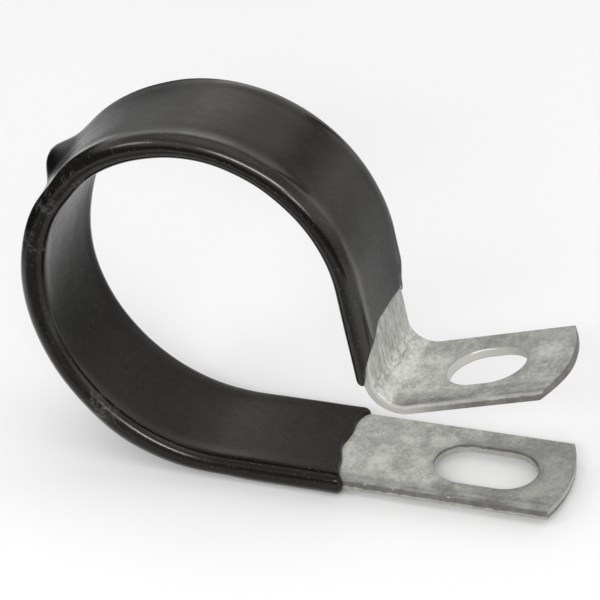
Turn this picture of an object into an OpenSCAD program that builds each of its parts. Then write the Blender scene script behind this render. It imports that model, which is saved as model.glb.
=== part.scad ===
// Hose mounting strap: a loop of galvanised steel strip dipped in vinyl, with two slotted tabs.
// The loop stands sprung open, with its lower tab level. The hose runs along X, the tabs point
// along +Y, and the origin is the middle of the hose where the round part of the loop holds it.

/* [Strip] */
// Width of the steel strip
strip_w = 19; // [15:0.5:30]
// Thickness of the steel strip
strip_t = 1.6; // [1:0.1:2.5]
// Radius of the arc that each tab's end is cut to
tab_end_r = 26; // [16:1:60]

/* [Loop] */
// Diameter of the hose that the round part of the coated loop holds
hose_d = 47.2; // [30:0.2:80]
// How much larger the radius is where the loop has sprung open
spring_rise = 3.9; // [0.5:0.1:8]
// Angle above level at which the round part runs out into the upper wall
wall_angle = 10.6; // [4:0.2:25]
// Angle at which the round part meets the sprung part
spring_angle = 161; // [130:1:190]
// Length of the lower straight that is coated, along its middle
lower_coated = 17.2; // [10:0.2:30]
// Length of the upper wall that is coated, where the coating is shortest
wall_coated = 8.8; // [4:0.2:20]
// Length of the upper wall that is left below the coating, above the bend
wall_bare = 7.3; // [5:0.1:20]

/* [Tabs] */
// Radius on the inside of the bend between the upper wall and the upper tab
bend_r = 4.1; // [2:0.1:8]
// How far the upper tab still leans up from level
upper_tilt = 16.2; // [5:0.2:30]
// Length of the upper tab's long edges, from the bend to the corners
upper_len = 22.3; // [20:0.1:40]
// Length of the lower tab's long edges, from the coating's middle to the corners
lower_len = 34.7; // [26:0.1:60]

/* [Slots] */
// Distance from each slot's middle to the tip of its tab
slot_back = 13.7; // [12:0.1:16]
// Width of the upper slot
upper_slot_w = 10.3; // [6:0.1:11]
// Length of the upper slot, end to end
upper_slot_len = 12.6; // [11.5:0.1:16]
// Width of the lower slot
lower_slot_w = 10.7; // [6:0.1:11]
// Length of the lower slot, end to end
lower_slot_len = 16.5; // [12:0.1:20]

/* [Coating] */
// Thickness of the vinyl on the strip's faces
coat_t = 1.1; // [0.6:0.1:2]
// Thickness of the vinyl on the strip's edges
coat_edge_t = 1.2; // [0.6:0.1:2]
// How far the round bead along each edge stands above the faces
bead_rise = 0.08; // [0.04:0.01:0.09]
// Radius of the arc that each end of the coating follows, because vinyl creeps along the edges
creep_r = 22; // [22:1:60]
// How far the arc on the upper wall lies off the strip's middle
creep_off = 2.5; // [0:0.1:4]
// Angle above level, round from the tabs, at which the set drip stands
drip_angle = 150; // [120:1:160]
// How far the drip lies off the strip's middle
drip_off = 2.5; // [0:0.1:3.5]
// Height of the set drip above the coating
drip_h = 2.8; // [1:0.1:4]
// Radius of the drip's round tip
drip_r = 3.4; // [1.5:0.1:4]
// Radius of the drip's foot
drip_foot_r = 6.4; // [4.5:0.1:7]

/* [Hidden] */
$fn = 96;
// Each stretch laps back over the one before it by this length, and every other stretch is larger
// all round by this hair, so that the stretches fuse into one solid
lap = 0.1;
hair = 0.01;
// Half the thickness of the coated strip over its faces, and the bead along each edge
coat_half = strip_t / 2 + coat_t;
bead_r = coat_half + bead_rise;
bead_at = strip_w / 2 + coat_edge_t - bead_r;
// Radii of the strip's middle layer, and of the outside of the coated round part
round_r = hose_d / 2 + coat_half;
sprung_r = round_r + spring_rise;
coat_out_r = round_r + coat_half;
bend_mid_r = bend_r + strip_t / 2;
// The sprung part's centre is set so that it runs on smoothly from the round part
sprung_c = -spring_rise * [cos(spring_angle), sin(spring_angle), 0];
bend_turn = upper_tilt - wall_angle + 90;
wall_len = wall_coated + wall_bare;
lower_total = lower_coated + lower_len;
tab_end_rise = tab_end_r - sqrt(pow(tab_end_r, 2) - pow(strip_w / 2, 2));
// The drip's foot is sunk until all its rim lies in the coating, and its neck lies just inside its tip
drip_sink = coat_out_r - sqrt(pow(coat_out_r, 2) - pow(drip_foot_r, 2)) + lap;
drip_neck_h = 0.4 * drip_h;
drip_neck_r = 0.95 * sqrt(pow(drip_r, 2) - pow(drip_neck_h - drip_h + drip_r, 2));
// Length that a cutting or joining shape runs past its neighbour
past = 1;

// Turns a shape drawn in the plane of the loop, with the width along z, to stand in the frame
module stand() {
  rotate([90, 0, 90])
    children();
}

// Places children at the start of each straight stretch and of the bend, heading along x
module on_lower() {
  translate(sprung_c)
    translate([0, -sprung_r, 0])
      children();
}

module on_wall() {
  rotate([0, 0, wall_angle])
    translate([round_r, 0, 0])
      rotate([0, 0, -90])
        children();
}

module on_bend() {
  on_wall()
    translate([wall_len, bend_mid_r, 0])
      children();
}

module on_upper() {
  on_bend()
    rotate([0, 0, bend_turn])
      translate([0, -bend_mid_r, 0])
        children();
}

// Sweeps a section, with x through the thickness and y across the width, round an arc or along x
module sweep_arc(r, start, turn) {
  lap_turn = lap / r * 180 / PI;
  rotate_extrude(start = start - lap_turn, angle = turn + lap_turn)
    translate([r, 0])
      children();
}

module sweep_straight(length) {
  translate([-lap, 0, 0])
    rotate([90, 0, 90])
      linear_extrude(length + lap)
        children();
}

module sweep_round() {
  sweep_arc(round_r, wall_angle, spring_angle - wall_angle)
    children();
}

module sweep_sprung() {
  translate(sprung_c)
    sweep_arc(sprung_r, spring_angle, 270 - spring_angle)
      children();
}

// Section of the bare strip, and of the strip with its coating, larger all round by a given length
module strip_section(grow = 0) {
  square([strip_t + 2 * grow, strip_w + 2 * grow], center = true);
}

module coated_section(grow = 0) {
  square([2 * (coat_half + grow), 2 * bead_at], center = true);
  for (side = [-1, 1])
    translate([0, side * bead_at])
      circle(bead_r + grow);
}

module slot(length, width) {
  straight = length - width;
  square([straight, width], center = true);
  for (side = [-1, 1])
    translate([side * straight / 2, 0])
      circle(d = width);
}

// Outline of a tab along x with an arc at its end, seen square to the strip
module tab_outline(edge_len, grow) {
  width = strip_w + 2 * grow;
  translate([-lap, -width / 2])
    square([edge_len + lap - past / 2, width]);
  intersection() {
    translate([edge_len - past, -width / 2])
      square([tab_end_rise + 2 * past, width]);
    translate([edge_len + tab_end_rise - tab_end_r, 0])
      circle(tab_end_r);
  }
}

// A slotted tab whose middle layer lies in the xz plane
module tab(edge_len, slot_len, slot_w, grow = 0) {
  rotate([90, 0, 0])
    linear_extrude(strip_t + 2 * grow, center = true)
      difference() {
        tab_outline(edge_len, grow);
        translate([edge_len + tab_end_rise - slot_back, 0])
          slot(slot_len, slot_w);
      }
}

// The bent strip: the round part, then both ways from it towards the tabs
module strap() {
  color([0.68, 0.69, 0.67])
    stand() {
      sweep_round()
        strip_section();
      sweep_sprung()
        strip_section(hair);
      on_lower()
        tab(lower_total, lower_slot_len, lower_slot_w);
      on_wall()
        sweep_straight(wall_len)
          strip_section(hair);
      on_bend()
        sweep_arc(bend_mid_r, -90, bend_turn)
          strip_section();
      on_upper()
        tab(upper_len, upper_slot_len, upper_slot_w, hair);
    }
}

// A coated straight whose end is cut back to an arc that lies off the middle by a given distance
module coated_straight(length, off = 0, grow = 0) {
  reach = creep_r - sqrt(pow(creep_r, 2) - pow(strip_w / 2 + off, 2));
  difference() {
    sweep_straight(length + reach)
      coated_section(grow);
    translate([length + creep_r, 0, -off])
      rotate([90, 0, 0])
        cylinder(r = creep_r, h = 2 * (bead_r + past), center = true);
  }
}

// Half outline of the drip: a round tip on a spread foot
module drip_outline() {
  intersection() {
    translate([0, -drip_sink])
      square([drip_foot_r, drip_sink + drip_h + past]);
    union() {
      translate([0, drip_h - drip_r])
        circle(drip_r);
      polygon([[0, -drip_sink], [drip_foot_r, -drip_sink], [drip_neck_r, drip_neck_h], [0, drip_neck_h]]);
    }
  }
}

// The drip stands where the dipped loop drained, on the side away from the tabs
module drip() {
  rotate([0, 0, drip_angle])
    translate([coat_out_r, 0, -drip_off])
      rotate([0, 90, 0])
        rotate_extrude()
          drip_outline();
}

// The dipped skin: the coated form, less the strip inside it
module coating() {
  color([0.13, 0.13, 0.13])
    difference() {
      stand() {
        sweep_round()
          coated_section();
        sweep_sprung()
          coated_section(hair);
        on_lower()
          coated_straight(lower_coated);
        on_wall()
          coated_straight(wall_coated, creep_off, hair);
        drip();
      }
      strap();
    }
}

strap();
coating();
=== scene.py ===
import math

import bmesh
import bpy
import numpy as np
from mathutils import Matrix, Vector


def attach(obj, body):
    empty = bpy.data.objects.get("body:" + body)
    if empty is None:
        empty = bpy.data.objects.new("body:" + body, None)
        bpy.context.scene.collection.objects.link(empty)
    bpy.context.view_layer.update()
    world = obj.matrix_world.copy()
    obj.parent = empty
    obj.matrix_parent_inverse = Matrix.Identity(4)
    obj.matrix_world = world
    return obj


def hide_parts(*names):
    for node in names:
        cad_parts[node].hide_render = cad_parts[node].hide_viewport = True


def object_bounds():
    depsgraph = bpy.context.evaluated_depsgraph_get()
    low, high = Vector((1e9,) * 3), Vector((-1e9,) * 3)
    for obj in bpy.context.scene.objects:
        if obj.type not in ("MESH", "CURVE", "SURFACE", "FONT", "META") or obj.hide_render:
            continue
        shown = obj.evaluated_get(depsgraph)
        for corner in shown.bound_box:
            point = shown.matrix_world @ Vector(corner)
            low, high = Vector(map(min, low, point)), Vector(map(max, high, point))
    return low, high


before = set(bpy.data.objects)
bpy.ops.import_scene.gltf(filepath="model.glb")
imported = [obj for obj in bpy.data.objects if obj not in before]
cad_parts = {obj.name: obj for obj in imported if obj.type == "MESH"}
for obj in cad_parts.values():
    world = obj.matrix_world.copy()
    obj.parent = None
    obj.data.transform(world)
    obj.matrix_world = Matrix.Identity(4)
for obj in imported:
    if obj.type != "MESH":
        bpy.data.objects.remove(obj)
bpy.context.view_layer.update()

# Galvanised strip: 19 mm steel strip, sheared to length with arced ends and punched with one bolt
# slot near each end, then zinc plated and bent into a loop that has sprung open. The loop is held
# inside the vinyl, and the two tabs and the outward bend stay bare.
MM = 0.001
strip_half_w = 9.5
strip_half_t = 0.8
round_r = 25.5
sprung_r = 29.4
wall_angle = math.radians(10.6)
spring_angle = math.radians(161)
upper_tilt = math.radians(16.2)
wall_len = 16.1
bend_mid_r = 4.9
lower_tab_len = 51.9
upper_tab_len = 22.3
tab_end_r = 26.0
tab_end_rise = tab_end_r - math.sqrt(tab_end_r**2 - strip_half_w**2)
lower_slot_len, lower_slot_w = 16.5, 10.7
upper_slot_len, upper_slot_w = 12.6, 10.3
slot_back = 13.7

# Lengths along the strip's middle, from where the lower straight meets the sprung arc
round_at = sprung_r * (1.5 * math.pi - spring_angle)
wall_at = round_at + round_r * (spring_angle - wall_angle)
bend_at = wall_at + wall_len
bend_turn = upper_tilt - wall_angle + math.pi / 2
upper_at = bend_at + bend_mid_r * bend_turn

sprung_mid = (round_r - sprung_r) * np.array([math.cos(spring_angle), math.sin(spring_angle)])
wall_out = np.array([math.cos(wall_angle), math.sin(wall_angle)])
wall_way = np.array([math.sin(wall_angle), -math.cos(wall_angle)])
bend_mid = round_r * wall_out + wall_len * wall_way + bend_mid_r * wall_out
upper_way = np.array([math.cos(upper_tilt), math.sin(upper_tilt)])
upper_out = np.array([-upper_way[1], upper_way[0]])
upper_from = bend_mid - bend_mid_r * upper_out


def strip_line(s):
    """The strip's middle line in the plane of the loop, and the way out of the loop, at lengths along it."""
    turn = [
        1.5 * math.pi - s / sprung_r,
        spring_angle - (s - round_at) / round_r,
        wall_angle + math.pi + (s - bend_at) / bend_mid_r,
    ]
    rays = [np.stack([np.cos(a), np.sin(a)], -1) for a in turn]
    along = s[..., None]
    down = np.zeros(s.shape + (2,)) + [0, -1]
    stretch = [s < 0, s < round_at, s < wall_at, s < bend_at, s < upper_at, s >= upper_at]
    stretch = [x[..., None] for x in stretch]
    middle = np.select(stretch, [
        sprung_mid + [0, -sprung_r] - along * [1, 0],
        sprung_mid + sprung_r * rays[0],
        round_r * rays[1],
        round_r * wall_out + (along - wall_at) * wall_way,
        bend_mid + bend_mid_r * rays[2],
        upper_from + (along - upper_at) * upper_way,
    ])
    out = np.select(stretch, [
        down, rays[0], rays[1], down * 0 + wall_out, -rays[2], down * 0 + upper_out
    ])
    return middle, out


def on_strip(p):
    """Points in the frame, in metres, from lengths along, across and out of the strip in millimetres."""
    middle, out = strip_line(p[..., 0])
    flat = middle + p[..., 2:] * out
    return np.concatenate([p[..., 1:2], flat], -1) * MM


def rim(outer_roll, inner_roll, steps=5):
    """Profile of a sheared edge from the outer face to the inner one: how far in it lies, and its height.

    Each roll is how far the face draws in and drops before the cut.
    """
    a = np.linspace(0, math.pi / 2, steps)
    outer, inner = (
        np.stack([inset * (1 - np.sin(a)), strip_half_t - drop * (1 - np.cos(a))], -1)
        for inset, drop in (outer_roll, inner_roll)
    )
    inner = inner * [1, -1]
    between = np.linspace(outer[-1], inner[-1], steps)[1:-1]
    return np.concatenate([outer, between, inner[::-1]])


def quads_of(index):
    """Four-sided faces between the neighbours in a grid of point numbers."""
    corners = index[:-1, :-1], index[1:, :-1], index[1:, 1:], index[:-1, 1:]
    return np.stack([c.ravel() for c in corners], -1)


class Sheet:
    """Grids of points on the strip, gathered into one mesh whose equal points are joined."""

    def __init__(self):
        self.points, self.cuts, self.slots, self.quads = [], [], [], []

    def grid(self, p, cut=0.0, slot=0.0, closed=False):
        rows, columns = p.shape[:2]
        index = np.arange(rows * columns).reshape(rows, columns) + sum(map(len, self.points))
        if closed:
            index = np.concatenate([index, index[:1]])
        self.quads.append(quads_of(index))
        self.points.append(p.reshape(-1, 3))
        self.cuts.append(np.broadcast_to(cut, (rows, columns)).ravel())
        self.slots.append(np.broadcast_to(slot, (rows, columns)).ravel())

    def joined(self):
        points, cuts, slots, quads = map(np.concatenate, (self.points, self.cuts, self.slots, self.quads))
        _, first, kept = np.unique(points.round(4), axis=0, return_index=True, return_inverse=True)
        return points[first], cuts[first], slots[first], kept.ravel()[quads]


def made_mesh(name, points, quads, fields, sharp):
    """A smooth mesh object with its faces turned outwards and the given values on its points."""
    mesh = bpy.data.meshes.new(name)
    mesh.from_pydata(points.tolist(), [], quads.tolist())
    for key, values in fields.items():
        kind, part = ("FLOAT_VECTOR", "vector") if values.ndim == 2 else ("FLOAT", "value")
        mesh.attributes.new(key, kind, "POINT").data.foreach_set(part, values.astype(np.float32).ravel())
    whole = bmesh.new()
    whole.from_mesh(mesh)
    bmesh.ops.recalc_face_normals(whole, faces=whole.faces)
    whole.to_mesh(mesh)
    whole.free()
    mesh.polygons.foreach_set("use_smooth", np.ones(len(mesh.polygons), bool))
    mesh.set_sharp_from_angle(angle=sharp)
    piece = bpy.data.objects.new(name, mesh)
    bpy.context.collection.objects.link(piece)
    return piece


# The sheared edges are rolled most on the outer face, and the slots' rims alike on both
edge_rim = rim((0.34, 0.26), (0.12, 0.1))
slot_rim = rim((0.24, 0.2), (0.24, 0.2))
cut_fade = 0.12
edge_cut = np.clip(1 - edge_rim[:, 0] / cut_fade, 0, 1)
slot_cut = np.clip(1 - slot_rim[:, 0] / cut_fade, 0, 1)
across = np.linspace(-1, 1, 33)
side_steps = 40
end_steps = 45
ray_steps = 15
ray_curve = 1.5
trim_from = 1.0
trim_curve = 1.5
trim_lean = 1.5
strip = Sheet()


def sweep_strip(stations):
    """The plain strip between two lengths along it."""
    s = stations[:, None]
    for inset, height in (edge_rim[0], edge_rim[-1]):
        w = across * (strip_half_w - inset)
        strip.grid(np.stack(np.broadcast_arrays(s, w[None], height), -1))
    for side in (-1, 1):
        w = side * (strip_half_w - edge_rim[:, 0])
        strip.grid(np.stack(np.broadcast_arrays(s, w[None], edge_rim[:, 1][None]), -1), edge_cut)


def tab_outline(start, edge_len, inset, trim):
    """Points round a tab, drawn in from its edges: across its start, then its near side, end and far side.

    The end is cut back towards its near corner by the trim.
    """
    r, w = tab_end_r - inset, strip_half_w - inset
    middle = edge_len + tab_end_rise - tab_end_r
    half = math.asin(w / r)
    corner = middle + r * math.cos(half)
    near_side = np.linspace(start, corner - trim, side_steps)[1:]
    far_side = np.linspace(start, corner, side_steps)[:0:-1]
    turn = np.linspace(half, -half, end_steps)[1:-1]
    end_w = r * np.sin(turn)
    trimmed = np.clip((end_w - trim_from) / (w - trim_from), 0, 1) ** trim_curve
    end_at = middle + r * np.cos(turn) - trim * trimmed
    return np.concatenate([
        np.stack([np.full(len(across), start), across * w], -1),
        np.stack([near_side, np.full(side_steps - 1, w)], -1),
        np.stack([end_at, end_w], -1),
        np.stack([far_side, np.full(side_steps - 1, -w)], -1),
    ])


def slotted_tab(start, edge_len, slot_len, slot_w, trim, along):
    """A tab with a slot: rays run from the slot's rim to the tab's outline on both faces."""
    slot_at = edge_len + tab_end_rise - slot_back
    straight = (slot_len - slot_w) / 2
    rays = tab_outline(start, edge_len, 0, trim)
    spine = np.stack([np.clip(rays[:, 0], slot_at - straight, slot_at + straight), rays[:, 1] * 0], -1)
    way = rays - spine
    way /= np.linalg.norm(way, axis=1)[:, None]

    def lifted(flat, height):
        return np.stack(np.broadcast_arrays(along(flat[..., 0]), flat[..., 1], height), -1)

    def slot_outline(inset):
        return spine + way * (slot_w / 2 + inset)

    # The trim leans, and grows to two and a half times its size on the inner face
    trims = trim * (1 + trim_lean * (strip_half_t - edge_rim[:, 1]) / (2 * strip_half_t))
    share = (np.linspace(0, 1, ray_steps) ** ray_curve)[None, :, None]
    for end in (0, -1):
        inner = slot_outline(slot_rim[end, 0])[:, None]
        outer = tab_outline(start, edge_len, edge_rim[end, 0], trims[end])[:, None]
        away = np.linalg.norm(outer - inner, axis=2) * share[..., 0]
        face = lifted(inner + (outer - inner) * share, edge_rim[end, 1])
        strip.grid(face, 0.0, np.exp(-away), closed=True)
    wall = np.stack([slot_outline(inset) for inset in slot_rim[:, 0]], 1)
    strip.grid(lifted(wall, slot_rim[:, 1]), slot_cut, 1.0, closed=True)
    order = np.r_[len(across) - 1:len(rays), 0]
    edge = np.stack([tab_outline(start, edge_len, *cut) for cut in zip(edge_rim[:, 0], trims)], 1)[order]
    strip.grid(lifted(edge, edge_rim[:, 1]), edge_cut)


lower_from = 6.0
wall_from = wall_at + 3.0
upper_trim = 0.55
slotted_tab(lower_from, lower_tab_len, lower_slot_len, lower_slot_w, 0.0, lambda a: -a)
slotted_tab(0.0, upper_tab_len, upper_slot_len, upper_slot_w, upper_trim, lambda a: upper_at + a)
for stretch_from, stretch_to, stretch_steps in (
    (-lower_from, wall_from, 150),
    (wall_from, bend_at, 32),
    (bend_at, upper_at, 40),
):
    sweep_strip(np.linspace(stretch_from, stretch_to, stretch_steps))
strip_points, strip_cuts, strip_slots, strip_quads = strip.joined()
steel_strip = made_mesh(
    "steel_strip", on_strip(strip_points), strip_quads,
    {"strip": strip_points, "cut": strip_cuts, "slot": strip_slots}, sharp=math.radians(34),
)


class Nodes:
    """Shader nodes of one tree: each call adds a node or a few, and gives back what they put out."""

    def __init__(self, tree):
        self.tree = tree

    def join(self, socket, value):
        """Sets a socket to a value, or links it if the value is another node's."""
        if isinstance(value, bpy.types.NodeSocket):
            self.tree.links.new(value, socket)
        else:
            socket.default_value = value

    def add(self, kind, settings=None, **sockets):
        node = self.tree.nodes.new("ShaderNode" + kind)
        for name, value in (settings or {}).items():
            setattr(node, name, value)
        for name, value in sockets.items():
            self.join(node.inputs[name.replace("_", " ")], value)
        return node

    def field(self, name, part):
        """The values that a mesh carries on its points under a name."""
        return self.add("Attribute", {"attribute_name": name}).outputs[part]

    def axes(self, vector):
        return tuple(self.add("SeparateXYZ", Vector=vector).outputs)

    def worked(self, operation, *values, clamp=False):
        node = self.add("Math", {"operation": operation, "use_clamp": clamp})
        for socket, value in zip(node.inputs, values):
            self.join(socket, value)
        return node.outputs[0]

    def times(self, first, *others):
        for value in others:
            first = self.worked("MULTIPLY", first, value)
        return first

    def plus(self, first, *others):
        for value in others:
            first = self.worked("ADD", first, value)
        return first

    def minus(self, a, b):
        return self.worked("SUBTRACT", a, b)

    def larger(self, a, b):
        return self.worked("MAXIMUM", a, b)

    def unsigned(self, a):
        return self.worked("ABSOLUTE", a)

    def mixed(self, share, a, b):
        node = self.add("Mix", {"data_type": "RGBA"})
        self.join(node.inputs[0], share)
        for i, colour in ((6, a), (7, b)):
            self.join(node.inputs[i], (*colour, 1) if isinstance(colour, tuple) else colour)
        return node.outputs[2]

    def ramp(self, value, low, high, to_low=0.0, to_high=1.0):
        """A smooth way from one level to another while a value goes from low to high."""
        node = self.add(
            "MapRange", {"interpolation_type": "SMOOTHSTEP"}, Value=value, From_Min=low, From_Max=high,
            To_Min=to_low, To_Max=to_high,
        )
        return node.outputs[0]

    def stretched(self, vector, scale):
        node = self.add("VectorMath", {"operation": "MULTIPLY"})
        self.join(node.inputs[0], vector)
        self.join(node.inputs[1], scale)
        return node.outputs[0]

    def noise(self, vector, scale, detail=3.0, rough=0.55, bent=0.0):
        node = self.add(
            "TexNoise", Vector=self.stretched(vector, scale), Scale=1.0, Detail=detail,
            Roughness=rough, Distortion=bent,
        )
        return node.outputs[0]


def new_finish(name):
    """A new material, its nodes, and the sockets of its shader."""
    material = bpy.data.materials.new(name)
    material.use_nodes = True
    return material, Nodes(material.node_tree), material.node_tree.nodes["Principled BSDF"].inputs


# Specks that both finishes carry: pits and painted burr glints in the zinc, and dust on the vinyl. A share
# of the cells of a broken-up pattern holds one round speck each.
specks = bpy.data.node_groups.new("specks", "ShaderNodeTree")
for socket_name, kind, side in (
    ("Place", "NodeSocketVector", "INPUT"),
    ("Size", "NodeSocketFloat", "INPUT"),
    ("Share", "NodeSocketFloat", "INPUT"),
    ("Mask", "NodeSocketFloat", "OUTPUT"),
):
    specks.interface.new_socket(name=socket_name, in_out=side, socket_type=kind)
specks_in = specks.nodes.new("NodeGroupInput").outputs
specks_out = specks.nodes.new("NodeGroupOutput").inputs
speck = Nodes(specks)
cells = speck.add("TexVoronoi", Vector=specks_in["Place"], Scale=1.0).outputs
cell_draw = speck.add("SeparateColor", Color=cells["Color"]).outputs[0]
cell_kept = speck.worked("LESS_THAN", cell_draw, specks_in["Share"])
from_middle = speck.worked("DIVIDE", cells["Distance"], specks_in["Size"])
speck.join(specks_out["Mask"], speck.times(speck.ramp(from_middle, 1.0, 0.5), cell_kept))


def speck_mask(nodes, place, scale, size, share):
    """Specks on a finish, with the given number of cells to a millimetre along each way."""
    node = nodes.add(
        "Group", {"node_tree": specks}, Place=nodes.stretched(place, scale), Size=size, Share=share,
    )
    return node.outputs["Mask"]


zinc_finish, zinc, zinc_sockets = new_finish("galvanised_zinc")
zinc_at = zinc.field("strip", "Vector")
zinc_cut = zinc.field("cut", "Fac")
zinc_slot = zinc.field("slot", "Fac")
zinc_along, zinc_across, zinc_out = zinc.axes(zinc_at)
on_upper = zinc.ramp(zinc_along, wall_at - 1, wall_at)
on_lower = zinc.minus(1.0, on_upper)

# Cloudy plating, duller round the slots, with painted shade that darkens the tabs towards their ends
grey_zinc = (0.44, 0.445, 0.419)
bright_zinc = (0.85, 0.856, 0.812)
dull_and_shaded_zinc = (0.32, 0.324, 0.304)
clouds = zinc.noise(zinc_at, (0.26, 0.22, 0.3), 4.0, 0.6, 0.2)
wisps = zinc.noise(zinc_at, (1.2, 0.85, 0.9), 5.0, 0.66, 0.3)
grain = zinc.noise(zinc_at, (3.0, 2.2, 2.2), 3.0, 0.6)
plating = zinc.plus(zinc.times(clouds, 0.5), zinc.times(wisps, 0.24), zinc.times(grain, 0.26))
face_colour = zinc.mixed(zinc.ramp(plating, 0.38, 0.62), grey_zinc, bright_zinc)
# Painted shade: the plating darkens towards the ends of both tabs
lower_end_shade = zinc.ramp(zinc_along, -28.0, -54.0, 0.0, 0.52)
upper_end_shade = zinc.ramp(zinc_along, upper_at + 6, upper_at + 26, 0.0, 0.36)
slot_dull = zinc.times(zinc_slot, zinc.ramp(wisps, 0.3, 0.6, 0.15, 0.5))
end_shade_and_slot_dull = zinc.worked("ADD", zinc.plus(lower_end_shade, upper_end_shade), slot_dull, clamp=True)
face_colour = zinc.mixed(end_shade_and_slot_dull, face_colour, dull_and_shaded_zinc)

# The upper wall was drawn out as far as a ragged line in the bend: it is streaked and dull, with a few
# ridges down it, pale flecks towards the line, and painted shadow along the crease on it. A pale band
# follows the line, partly the fold's own tone and partly a painted highlight towards the near edge. Painted
# light makes the tabs paler towards the loop, and the strip's margins are duller
painted_light_zinc = (0.86, 0.865, 0.827)
fleck_and_highlight_zinc = (0.88, 0.88, 0.85)
ridge_zinc = (0.85, 0.85, 0.82)
drawn_dark = (0.3, 0.304, 0.286)
drawn_light = (0.58, 0.584, 0.554)
crease_shadow_dark = (0.16, 0.16, 0.15)
line_at = bend_at + 2.85
ragged = zinc.minus(zinc.noise(zinc_at, (0.45, 0.5, 0.5), 5.0, 0.52), 0.5)
crease_at = zinc.plus(zinc_along, zinc.times(ragged, 2.6), zinc.times(zinc_across, 0.05))
wall_drawn = zinc.times(on_upper, zinc.ramp(crease_at, line_at + 0.05, line_at - 0.35))
folded = zinc.times(on_upper, zinc.ramp(crease_at, line_at + 3.55, line_at + 2.55))
off_fold = zinc.minus(1.0, folded)
streaks = zinc.noise(zinc_at, (0.3, 1.15, 1.0), 5.0, 0.62, 0.5)
drawn_colour = zinc.mixed(zinc.ramp(streaks, 0.34, 0.66), drawn_dark, drawn_light)
ridges = 0.0
for ridge_w, ridge_lean in ((2.7, 0.0), (3.0, 0.22), (-1.5, -0.06)):
    ridge_way = zinc.times(zinc.minus(zinc_along, wall_at + 9), -ridge_lean)
    ridge_at = zinc.plus(zinc_across, ridge_way, zinc.times(ragged, 1.5))
    off_ridge = zinc.unsigned(zinc.minus(ridge_at, ridge_w))
    ridges = zinc.larger(ridges, zinc.ramp(off_ridge, 0.3, 0.1))
ridges = zinc.times(ridges, wall_drawn, zinc.ramp(streaks, 0.35, 0.6))

# Painted light: the tabs are paler towards the loop
upper_painted_light = zinc.times(on_upper, zinc.ramp(zinc_along, upper_at + 11, upper_at + 4, 0.0, 0.16))
lower_painted_light = zinc.times(on_lower, zinc.ramp(zinc_along, -40.0, -24.0, 0.0, 0.24))
face_colour = zinc.mixed(zinc.plus(upper_painted_light, lower_painted_light), face_colour, painted_light_zinc)
near_margin = zinc.times(on_upper, zinc.ramp(zinc_across, 4.5, 8.0, 0.0, 0.5))
far_margin = zinc.ramp(zinc_across, -3.0, -7.0, 0.0, 0.5)
far_margin = zinc.times(far_margin, zinc.ramp(on_upper, 0.0, 1.0, 0.5, 1.0))
margin = zinc.times(zinc.plus(near_margin, far_margin), off_fold, zinc.ramp(wisps, 0.35, 0.6, 1.1, 0.75))
face_colour = zinc.mixed(margin, face_colour, dull_and_shaded_zinc)
# Partly the folded zinc's own tone and partly a painted highlight, which grows towards the near edge
fold_tone_and_highlight = zinc.times(folded, zinc.ramp(wisps, 0.3, 0.7, 0.0, 0.36))
fold_tone_and_highlight = zinc.times(fold_tone_and_highlight, zinc.ramp(zinc_across, -6.0, 7.0, 0.3, 1.2))
face_colour = zinc.mixed(fold_tone_and_highlight, face_colour, fleck_and_highlight_zinc)
face_colour = zinc.mixed(zinc.times(wall_drawn, 0.6), face_colour, drawn_colour)
face_colour = zinc.mixed(zinc.times(ridges, 0.6), face_colour, ridge_zinc)
flecks = zinc.times(wall_drawn, zinc.ramp(crease_at, line_at - 4.35, line_at - 0.45))
flecks = zinc.times(flecks, zinc.ramp(wisps, 0.42, 0.58, 0.1, 0.75))
face_colour = zinc.mixed(flecks, face_colour, fleck_and_highlight_zinc)
# Painted shadow: a dark line where the crease steps down
off_crease = zinc.unsigned(zinc.minus(crease_at, line_at))
crease_shadow = zinc.times(zinc.ramp(off_crease, 0.4, 0.05), zinc.ramp(wisps, 0.44, 0.6, 0.0, 0.5))
crease_shadow = zinc.times(crease_shadow, on_upper, zinc.ramp(zinc_across, 4.0, 0.0))
face_colour = zinc.mixed(crease_shadow, face_colour, crease_shadow_dark)

# Scrapes along the near margin, most on the lower tab, and small pits all over
scraped_zinc = (0.22, 0.222, 0.208)
pit_dark = (0.16, 0.155, 0.145)
worn_margin = zinc.times(on_lower, zinc.ramp(zinc_along, -47.0, -38.0, 0.0, 0.32))
scrape = zinc.ramp(zinc.noise(zinc_at, (0.1, 0.9, 0.5), 4.0, 0.6), 0.4, 0.62, worn_margin, 0.6)
scrape = zinc.times(scrape, zinc.ramp(zinc_across, 5.5, 8.6), off_fold)
face_colour = zinc.mixed(scrape, face_colour, scraped_zinc)
pits = speck_mask(zinc, zinc_at, (0.7, 0.7, 0.7), 0.16, 0.1)
face_colour = zinc.mixed(zinc.times(pits, 0.45), face_colour, pit_dark)

# Sheared edges: a bright burnished band next to the outer face and a darker torn band next to the inner
# one. The tabs' ends were cut from the other face, and the upper slot and the bent edge are palest
burnished_dark = (0.42, 0.417, 0.395)
burnished_light = (0.57, 0.566, 0.54)
slot_light = (0.65, 0.645, 0.615)
torn_dark = (0.2, 0.194, 0.18)
torn_light = (0.3, 0.292, 0.272)
bent_light = (0.76, 0.755, 0.725)
torn_wave = zinc.times(zinc.minus(zinc.noise(zinc_at, (0.8, 0.8, 0.9), 5.0, 0.65), 0.5), 0.8)
at_end = zinc.times(zinc.ramp(zinc.unsigned(zinc_across), 9.3, 9.0), zinc.minus(1.0, zinc_slot))
cut_height = zinc.times(zinc_out, zinc.minus(1.0, zinc.times(at_end, 2.0)))
slot_clean = zinc.times(zinc_slot, zinc.plus(zinc.times(on_upper, 0.64), 0.37))
end_torn = zinc.times(at_end, zinc.minus(on_upper, 0.25))
torn_line = zinc.minus(zinc.plus(cut_height, torn_wave, slot_clean), end_torn)
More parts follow.
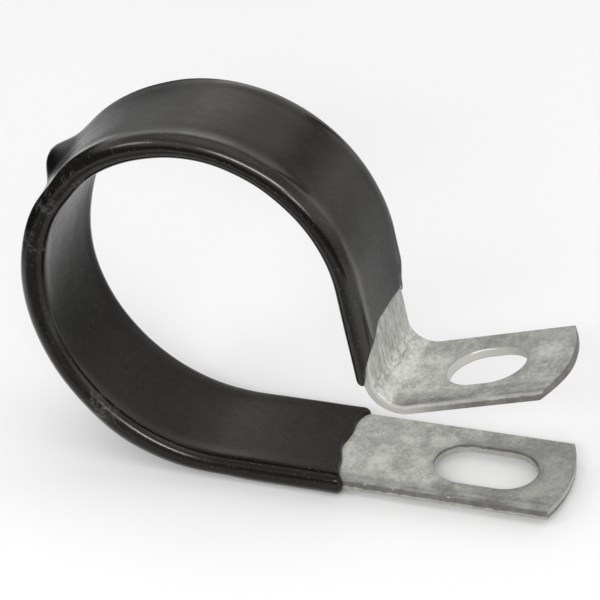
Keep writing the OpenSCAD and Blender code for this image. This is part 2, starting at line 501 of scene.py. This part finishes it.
shear_lines = zinc.ramp(zinc.noise(zinc_at, (0.6, 0.6, 0.5), 6.0, 0.7), 0.3, 0.7)
burnished_colour = zinc.mixed(shear_lines, burnished_dark, burnished_light)
slot_pale = zinc.times(zinc_slot, zinc.ramp(on_upper, 0.0, 1.0, 0.25, 0.75))
burnished_colour = zinc.mixed(slot_pale, burnished_colour, slot_light)
torn_colour = zinc.mixed(shear_lines, torn_dark, torn_light)
cut_colour = zinc.mixed(zinc.ramp(torn_line, 0.05, 0.25), torn_colour, burnished_colour)
bent_edge = zinc.times(on_upper, zinc.ramp(zinc_along, upper_at + 9, upper_at - 1, 0.0, 0.6))
cut_colour = zinc.mixed(bent_edge, cut_colour, bent_light)

# A painted highlight on the upper slot's far rim, and painted glints on the burrs along the inner face
painted_glint_white = (0.95, 0.95, 0.93)
painted_burr_white = (0.9, 0.9, 0.88)
off_painted_glint = zinc.unsigned(zinc.minus(zinc_along, upper_at + 8.5))
painted_slot_glint = zinc.times(zinc_slot, on_upper, zinc.ramp(zinc_out, 0.45, 0.6))
painted_slot_glint = zinc.times(painted_slot_glint, zinc.ramp(off_painted_glint, 2.4, 1.4, 0.0, 0.85), zinc.ramp(zinc_across, 0.0, -1.0))
cut_colour = zinc.mixed(painted_slot_glint, cut_colour, painted_glint_white)
# Painted glints: white specks on the burrs along the inner face
painted_burr_glints = speck_mask(zinc, zinc_at, (0.9, 1.6, 1.6), 0.3, 0.16)
painted_burr_glints = zinc.times(painted_burr_glints, zinc.ramp(zinc_out, -0.5, -0.7), 0.8)
cut_colour = zinc.mixed(painted_burr_glints, cut_colour, painted_burr_white)

zinc_relief = 0.04
wall_height = zinc.times(wall_drawn, zinc.plus(zinc.times(streaks, 0.2), 1.4))
zinc_height = zinc.plus(zinc.times(wisps, 0.5), zinc.times(grain, 0.35), zinc.times(pits, -0.7))
zinc_height = zinc.plus(zinc_height, wall_height, zinc.times(folded, 0.5), ridges)
zinc_bump = zinc.add("Bump", Height=zinc_height, Strength=1.0, Distance=zinc_relief * MM)
zinc.join(zinc_sockets["Base Color"], zinc.mixed(zinc_cut, face_colour, cut_colour))
zinc.join(zinc_sockets["Roughness"], zinc.ramp(plating, 0.35, 0.65, 0.8, 0.68))
zinc.join(zinc_sockets["Normal"], zinc_bump.outputs["Normal"])
zinc_sockets["Metallic"].default_value = 1.0
steel_strip.data.materials.append(zinc_finish)
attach(steel_strip, "root")
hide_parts("strap")

# Vinyl coating: the loop was dipped in black plastisol, which set as one skin with round edges.
# It ran along the strip's edges at both ends, and drained to a drip on the side away from the tabs.
coat_half = 1.9
bead_r = 1.98
bead_at = 8.72
bead_from = 6.5
lower_coated = 17.2
wall_coated = 8.9
# Where each lip ends: places across the strip, and the length of straight that is coated there
lower_lip = np.array([
    (-10.7, 18.6), (-9.6, 18.3), (-8.4, 17.6), (-6.3, 17.15), (-4.6, 17.4), (-3.3, 17.4), (-1.6, 17.2),
    (0.3, 16.85), (2.1, 17.25), (3.5, 17.8), (4.9, 18.1), (6.8, 18.4), (8.5, 19.0), (9.6, 19.5),
    (10.7, 19.7),
])
upper_lip = np.array([
    (-10.7, 11.2), (-9.4, 10.4), (-7.7, 9.65), (-5.2, 9.35), (-1.9, 9.0), (1.5, 8.9), (4.3, 8.7),
    (5.7, 9.3), (6.8, 10.1), (8.7, 10.7), (9.6, 11.0), (10.7, 11.2),
])
lip_round = 1.0
lip_reach = 14.0
run_len = 5.6
drip_angle = math.radians(150)
drip_off = 2.5
drip_rise = 2.8
knob_half_len = 3.2
tail_half_len = 2.6
drip_half_w = 4.7
sag_rise = 0.67
sag_at, sag_reach = 3.5, 9.4
inner_sag_rise = 0.3
inner_sag_at, inner_sag_reach = -9, 9
face_steps = 41
bead_steps = 21


def eased(x):
    x = np.clip(x, 0, 1)
    return x * x * (3 - 2 * x)


def hump(x, middle, reach):
    return np.exp(-(((x - middle) / reach) ** 2))


face_w = np.linspace(-bead_at, bead_at, face_steps)
face_flat = face_w * 0
bead_share = np.linspace(0, 1, bead_steps)[1:-1]
bead_turn = np.linspace(math.pi / 2, -math.pi / 2, bead_steps)[1:-1]
face_rise = (bead_r - coat_half) * eased((abs(face_w) - bead_from) / (bead_at - bead_from))
plain_face = np.stack([face_w, coat_half + face_rise], -1)
face_way = np.stack([face_flat, face_flat + 1], -1)
near_way = np.stack([np.cos(bead_turn), np.sin(bead_turn)], -1)
near_bead = bead_r * near_way + [bead_at, 0]

# Where each point of the skin meets the steel: over the face, round the corner and down the edge
edge_over = strip_half_w - bead_at
corner_run = bead_share * 2 * (edge_over + strip_half_t)
over = np.minimum(corner_run, edge_over)
back = np.maximum(corner_run - (edge_over + 2 * strip_half_t), 0)
drop = np.clip(corner_run - edge_over, 0, 2 * strip_half_t)
near_edge = np.stack([bead_at + over - back, strip_half_t - drop], -1)
inner_face = np.stack([face_w, face_flat + strip_half_t], -1)
skin_out, skin_way, skin_in = (
    np.concatenate([face, bead, -face, -bead])
    for face, bead in ((plain_face, near_bead), (face_way, near_way), (inner_face, near_edge))
)

# The skin starts and ends at a round, uneven lip, and the rows of points near each lip follow it
lip_steps = np.array([0, 0.02, 0.07, 0.15, 0.26, 0.4, 0.56, 0.75, 1.0, 1.3])
body_from = 1.7
coat_from = -lower_coated
coat_len = wall_at + wall_coated - coat_from
body_steps = np.linspace(body_from, coat_len - body_from, 300)
steps = np.concatenate([lip_steps, body_steps, coat_len - lip_steps[::-1]])[:, None]
skin_w = skin_out[:, 0][None]
blur = np.linspace(-0.9, 0.9, 9)[:, None]
lower_more = np.interp(skin_w + blur, *lower_lip.T).mean(0)[None] - lower_coated
upper_more = np.interp(skin_w + blur * 0.7, *upper_lip.T).mean(0)[None] - wall_coated
# Down the near edge of the upper wall the vinyl ran on, on the side towards the hose
run_round = np.concatenate([face_flat, bead_share, face_flat + 1, bead_share[::-1]])
upper_more = upper_more + run_len * eased(1.3 * run_round - 0.1) * eased((skin_w - 4) / 4.7)
skin_s = coat_from + steps - lower_more * eased(1 - steps / lip_reach)
skin_s = skin_s + upper_more * eased(1 - (coat_len - steps) / lip_reach)
from_lip = np.minimum(steps, coat_len - steps)
swell = np.sqrt(1 - (1 - np.clip(from_lip / lip_round, 0, 1)) ** 2)

# Uneven thickness: slow waves all over, the drip with its tail, and the sag on the far side above it
waves = np.random.default_rng(7)
wave_count = 22
wave_rise = 0.004
wave_short, wave_long = 5, 16
plain = np.stack(np.broadcast_arrays(skin_s, skin_w, skin_out[:, 1][None]), -1)
plain_at = on_strip(plain) / MM
uneven = np.zeros(skin_s.shape)
for _ in range(wave_count):
    way = waves.normal(size=3)
    way *= 2 * math.pi / waves.uniform(wave_short, wave_long) / np.linalg.norm(way)
    uneven += wave_rise * np.sin(plain_at @ way + waves.uniform(0, 2 * math.pi))
outside = eased(skin_way[:, 1])[None]
inside = eased(-skin_way[:, 1])[None]
drip_at = round_at + round_r * (spring_angle - drip_angle)
drip_s = (skin_s - drip_at) * (round_r + coat_half) / round_r
drip_w = skin_w + drip_off
upward = eased(0.5 + 0.8 * drip_s / (np.hypot(drip_s, drip_w) + 1e-6))
knob = np.exp(-(np.hypot(drip_s / knob_half_len, drip_w / drip_half_w) ** 2.5))
tail = np.exp(-(np.hypot(drip_s / tail_half_len, drip_w / drip_half_w) ** 2))
uneven += drip_rise * outside * (knob + (tail - knob) * upward)
sag = hump(drip_s, sag_at, sag_reach) * eased((2 - skin_w) / 10)
inner_sag = hump(drip_s, inner_sag_at, inner_sag_reach) * eased((-2 - skin_w) / 8)
uneven += sag_rise * outside * sag
uneven += inner_sag_rise * inside * inner_sag

# Along the near edge the bead is fuller inside over the top. Outside it is drawn in beside the drip and
# at the foot of the loop, and fuller between them
near = eased((skin_w - bead_from) / 2.5)
for bead_side, bead_place, bead_reach, bead_more in (
    (inside, 79.5, 8.0, 0.2),
    (inside, 108.0, 9.0, 0.1),
    (outside, 63.5, 3.4, -0.46),
    (outside, 47.0, 10.0, 0.13),
    (inside, 64.0, 4.5, 0.3),
    (outside, 16.0, 6.0, 0.28),
    (outside, 1.0, 4.0, -0.3),
):
    uneven += bead_more * bead_side * near * hump(skin_s, bead_place, bead_reach)
# Towards the upper wall the outer bead lies flush, and up to there a shallow groove runs beside it
flush_from, flush_over = 104, 14
flush_drop = 0.08
groove_at, groove_reach = 6.9, 1.3
groove_drop = 0.05
flush = eased((skin_s - flush_from) / flush_over)
uneven -= flush_drop * outside * near * flush
uneven -= groove_drop * outside * hump(skin_w, groove_at, groove_reach) * (1 - flush)
# The skin runs out thin down the far edge of the upper wall
thin_share = 0.6
thin = thin_share * eased((skin_s - wall_at - 5) / 5) * eased((-6 - skin_w) / 2.5)
thick = (swell * (1 - thin))[..., None]
section = skin_in + (skin_out - skin_in + skin_way * uneven[..., None]) * thick
outer_skin = np.concatenate([skin_s[..., None], section], -1)
inner_skin = np.concatenate([skin_s[..., None], section * 0 + skin_in], -1)[-2:0:-1]
skin_points = np.concatenate([outer_skin, inner_skin])
rows, columns = skin_points.shape[:2]
ring = np.arange(rows * columns).reshape(rows, columns)
ring = np.concatenate([ring, ring[:1]])
ring = np.concatenate([ring, ring[:, :1]], 1)
skin_flat = skin_points.reshape(-1, 3)
vinyl_coating = made_mesh(
    "vinyl_coating", on_strip(skin_flat), quads_of(ring), {"skin": skin_flat}, sharp=math.radians(60),
)

vinyl_finish, vinyl, vinyl_sockets = new_finish("black_vinyl")
vinyl_at = vinyl.field("skin", "Vector")
vinyl_along, vinyl_across, vinyl_out = vinyl.axes(vinyl_at)
to_edge = vinyl.unsigned(vinyl_across)
vinyl_black = (0.0045, 0.0044, 0.004)
vinyl_bloom = (0.0075, 0.0073, 0.0066)
bloom = vinyl.noise(vinyl_at, (0.12, 0.16, 0.2), 4.0)
vinyl_colour = vinyl.mixed(vinyl.ramp(bloom, 0.3, 0.7), vinyl_black, vinyl_bloom)

# Scuffs where the round edges have rubbed, most on the side away from the tabs, and dust
scuff_grey = (0.16, 0.156, 0.144)
dust_grey = (0.24, 0.234, 0.222)
knock_reach = 5.0
knocked = 0.0
for knock_at, knock_core, knock_more in (
    (68.0, 1.0, 0.17),
    (61.5, 1.0, 0.19),
    (54.0, 1.0, 0.17),
    (22.0, 1.5, 0.22),
):
    off_knock = vinyl.unsigned(vinyl.minus(vinyl_along, knock_at))
    knocked = vinyl.larger(knocked, vinyl.ramp(off_knock, knock_reach, knock_core, 0.0, knock_more))
smudge = vinyl.noise(vinyl_at, (0.75, 0.95, 0.95), 8.0, 0.8)
scuffs = vinyl.ramp(vinyl.plus(smudge, knocked), 0.67, 0.87)
scuffs = vinyl.times(vinyl.ramp(to_edge, 8.8, 9.9), scuffs)
vinyl_colour = vinyl.mixed(vinyl.times(scuffs, 0.42), vinyl_colour, scuff_grey)
coarse_dust = speck_mask(vinyl, vinyl_at, (0.7, 0.7, 0.7), 0.1, 0.09)
fine_dust = vinyl.times(speck_mask(vinyl, vinyl_at, (1.2, 1.2, 1.2), 0.12, 0.22), 0.6)
rim_dust = speck_mask(vinyl, vinyl_at, (2.2, 2.2, 2.2), 0.3, 0.3)
rim_dust = vinyl.times(rim_dust, vinyl.ramp(to_edge, 8.0, 9.5, 0.0, 0.4))
dust = vinyl.larger(vinyl.worked("ADD", coarse_dust, fine_dust, clamp=True), rim_dust)
vinyl_colour = vinyl.mixed(vinyl.times(dust, 0.4), vinyl_colour, dust_grey)

# Satin faces and glossier round edges, most so on their outer side and inside low on the loop
satin = vinyl.noise(vinyl_at, (0.5, 0.5, 0.5), 3.0)
worn = vinyl.plus(vinyl.ramp(satin, 0.3, 0.7, -0.02, 0.03), vinyl.times(scuffs, 0.3))
worn = vinyl.plus(worn, vinyl.ramp(to_edge, bead_from, 8.8, 0.27, 0.16))
low_sheen = vinyl.times(vinyl.ramp(vinyl_out, -0.3, -1.1), vinyl.ramp(vinyl_along, 46.0, 32.0))
low_sheen = vinyl.times(low_sheen, vinyl.ramp(vinyl_along, -1.0, 10.0))
sheen = vinyl.larger(vinyl.ramp(vinyl_out, 0.3, 1.1), low_sheen)
sheen = vinyl.times(vinyl.ramp(to_edge, 7.0, 9.4), sheen, 0.52)

vinyl_relief = 0.02
peel = vinyl.noise(vinyl_at, (0.9, 0.9, 0.9), 3.0, 0.6)
fine_peel = vinyl.noise(vinyl_at, (3.2, 3.2, 3.2), 2.0)
vinyl_height = vinyl.plus(peel, vinyl.times(fine_peel, 0.12), scuffs)
vinyl_bump = vinyl.add("Bump", Height=vinyl_height, Strength=1.0, Distance=vinyl_relief * MM)
vinyl.join(vinyl_sockets["Base Color"], vinyl_colour)
vinyl.join(vinyl_sockets["Roughness"], worn)
vinyl.join(vinyl_sockets["Coat Weight"], sheen)
vinyl.join(vinyl_sockets["Normal"], vinyl_bump.outputs["Normal"])
vinyl_sockets["Coat Roughness"].default_value = 0.16
vinyl_sockets["Specular IOR Level"].default_value = 0.28
vinyl_sockets["Specular Tint"].default_value = (1.0, 0.955, 0.88, 1)
vinyl_coating.data.materials.append(vinyl_finish)
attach(vinyl_coating, "root")
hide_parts("coating")

# Floor: a wide sheet of matt white paper, a little uneven in tone. The strap stands on it, and
# nothing fixes them together.
floor_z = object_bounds()[0].z
bpy.ops.mesh.primitive_plane_add(size=4.0, location=(0, 0, floor_z))
floor = bpy.context.object
floor.name = "floor"
paper_finish, paper, paper_sockets = new_finish("white_paper")
paper_tone = paper.noise(paper.add("TexCoord").outputs["Object"], (3, 3, 3))
paper_dark = (0.93, 0.93, 0.93)
paper_light = (0.95, 0.95, 0.95)
paper_colour = paper.mixed(paper.ramp(paper_tone, 0.3, 0.7), paper_dark, paper_light)
paper.join(paper_sockets["Base Color"], paper_colour)
paper_sockets["Roughness"].default_value = 0.9
paper_sockets["Specular IOR Level"].default_value = 0.0
floor.data.materials.append(paper_finish)

# Studio: a white tent that brightens towards its top and has one darker seam. Three soft boxes light
# the strap from in front and two weak panels from behind. Black and grey cards, some with soft edges,
# stand round it and show only in its reflections.
scene = bpy.context.scene
scene.view_settings.view_transform = "Standard"
tent = bpy.data.worlds.new("studio")
scene.world = tent
tent.use_nodes = True
room = Nodes(tent.node_tree)
room_height = room.axes(room.add("TexCoord").outputs["Generated"])[2]
tent_foot, tent_top = 0.43, 1.11
seam_drop = 0.5
tent_wall = room.ramp(room_height, -0.05, 0.45, tent_foot, tent_top)
tent_seam = room.minus(room.ramp(room_height, 0.5, 0.74), room.ramp(room_height, 0.82, 0.96))
tent_light = tent.node_tree.nodes["Background"].inputs
room.join(tent_light["Strength"], room.minus(tent_wall, room.times(tent_seam, seam_drop)))
tent_light["Color"].default_value = (1, 1, 1, 1)

strap_middle = Vector((0, 0.012, -0.004))
for lamp_name, lamp_at, lamp_size, lamp_radiance in (
    ("front_box", (0.38, 0.075, 0.225), (0.26, 0.06), 13.0),
    ("right_box", (0.39, 0.2, 0.13), (0.09, 0.08), 8.0),
    ("left_box", (0.31, -0.29, 0.25), (0.12, 0.1), 4.0),
    ("back_panel", (-0.58, -0.13, 0.33), (0.2, 0.14), 0.55),
    ("right_panel", (-0.5, 0.34, 0.1), (0.16, 0.14), 0.4),
):
    lamp = bpy.data.lights.new(lamp_name, "AREA")
    lamp.shape = "RECTANGLE"
    lamp.size, lamp.size_y = lamp_size
    lamp.energy = lamp_radiance * math.pi * lamp.size * lamp.size_y
    lamp_object = bpy.data.objects.new(lamp_name, lamp)
    lamp_object.location = lamp_at
    lamp_object.rotation_euler = (strap_middle - Vector(lamp_at)).to_track_quat("-Z", "Y").to_euler()
    lamp_object.visible_camera = False
    bpy.context.collection.objects.link(lamp_object)

# Each card has its two ends on plan, its bottom and top, its grey and its soft edges. A soft edge has a
# way, and the lengths along it where the card is clear and where it is full
along_x, along_y, along_z = (1, 0, 0), (0, 1, 0), (0, 0, 1)
side_slant = (0, 1, -0.83)
card_black = 0.015
for card_name, card_ends, card_low, card_top, card_grey, card_fades in (
    ("front_card", ((0.13, -0.09), (0.13, 0.15)), floor_z, 0.03, card_black, ()),
    ("low_card", ((0.045, -0.075), (0.045, 0.04)), floor_z, -0.004, 0.4, (
        (along_y, 0.04, -0.01),
        (along_z, -0.004, -0.012),
    )),
    ("sill_card", ((0.045, 0.0), (0.045, 0.04)), -0.012, 0.026, 0.4, (
        (along_y, 0.04, -0.01),
        (along_y, 0.0, 0.012),
        (along_z, -0.012, -0.004),
    )),
    ("left_card", ((0.12, -0.075), (-0.065, -0.075)), -0.03, 0.065, card_black, (
        (along_z, 0.065, 0.045),
        (along_z, -0.03, -0.01),
        (along_x, -0.065, -0.035),
    )),
    ("back_card", ((-0.471, 0.179), (-0.437, 0.242)), 0.12, 0.36, card_black, ()),
    ("shade_card", ((-0.045, -0.03), (-0.045, 0.05)), floor_z, -0.008, 0.35, (
        (along_y, -0.025, 0.005),
    )),
    ("rear_card", ((-0.045, -0.03), (-0.045, 0.06)), -0.008, 0.022, 0.68, (
        (along_y, -0.025, 0.005),
    )),
    ("side_card", ((-0.022, -0.04), (-0.022, 0.0)), 0.01, 0.037, 0.1, (
        (side_slant, -0.049, -0.041),
        (along_y, 0.0, -0.008),
        (along_z, 0.01, 0.02),
        (along_z, 0.037, 0.027),
    )),
):
    card_finish, board, board_sockets = new_finish(card_name)
    board_at = board.add("TexCoord").outputs["Object"]
    board_there = 1.0
    for fade_way, clear_at, full_at in card_fades:
        fade = board.add("VectorMath", {"operation": "DOT_PRODUCT"})
        board.join(fade.inputs[0], board_at)
        board.join(fade.inputs[1], fade_way)
        board_there = board.times(board_there, board.ramp(fade.outputs["Value"], clear_at, full_at))
    board_dark, board_light = ((card_grey * share,) * 3 for share in (0.8, 1.2))
    board_colour = board.mixed(board.noise(board_at, (40, 40, 40)), board_dark, board_light)
    board.join(board_sockets["Base Color"], board_colour)
    board.join(board_sockets["Alpha"], board_there)
    board_sockets["Roughness"].default_value = 1.0
    board_sockets["Specular IOR Level"].default_value = 0.0
    card_foot = [Vector((*end, card_low)) for end in card_ends]
    card_head = [Vector((*end, card_top)) for end in card_ends]
    card_mesh = bpy.data.meshes.new(card_name)
    card_mesh.from_pydata([*card_foot, *reversed(card_head)], [], [(0, 1, 2, 3)])
    card = bpy.data.objects.new(card_name, card_mesh)
    card.data.materials.append(card_finish)
    card.visible_camera = card.visible_diffuse = card.visible_shadow = False
    bpy.context.collection.objects.link(card)

# Camera: a long lens from the near right, above the strap and looking down at it, with the small
# tilt that the picture has.
lens_at = Vector((342.86, 135.70, 215.98)) * MM
lens_to = Vector((0, 14.39, -4.13)) * MM
lens_roll = math.radians(-2.68)
forward = (lens_to - lens_at).normalized()
right = forward.cross(Vector((0, 0, 1))).normalized()
up = right.cross(forward)
lens_right = right * math.cos(lens_roll) + up * math.sin(lens_roll)
lens_up = up * math.cos(lens_roll) - right * math.sin(lens_roll)
lens = bpy.data.cameras.new("camera")
lens.sensor_width = 36
lens.lens = 166.25
lens.clip_start = 0.01
camera = bpy.data.objects.new("camera", lens)
lens_turn = Matrix((lens_right, lens_up, -forward)).transposed().to_4x4()
camera.matrix_world = Matrix.Translation(lens_at) @ lens_turn
bpy.context.collection.objects.link(camera)
scene.camera = camera
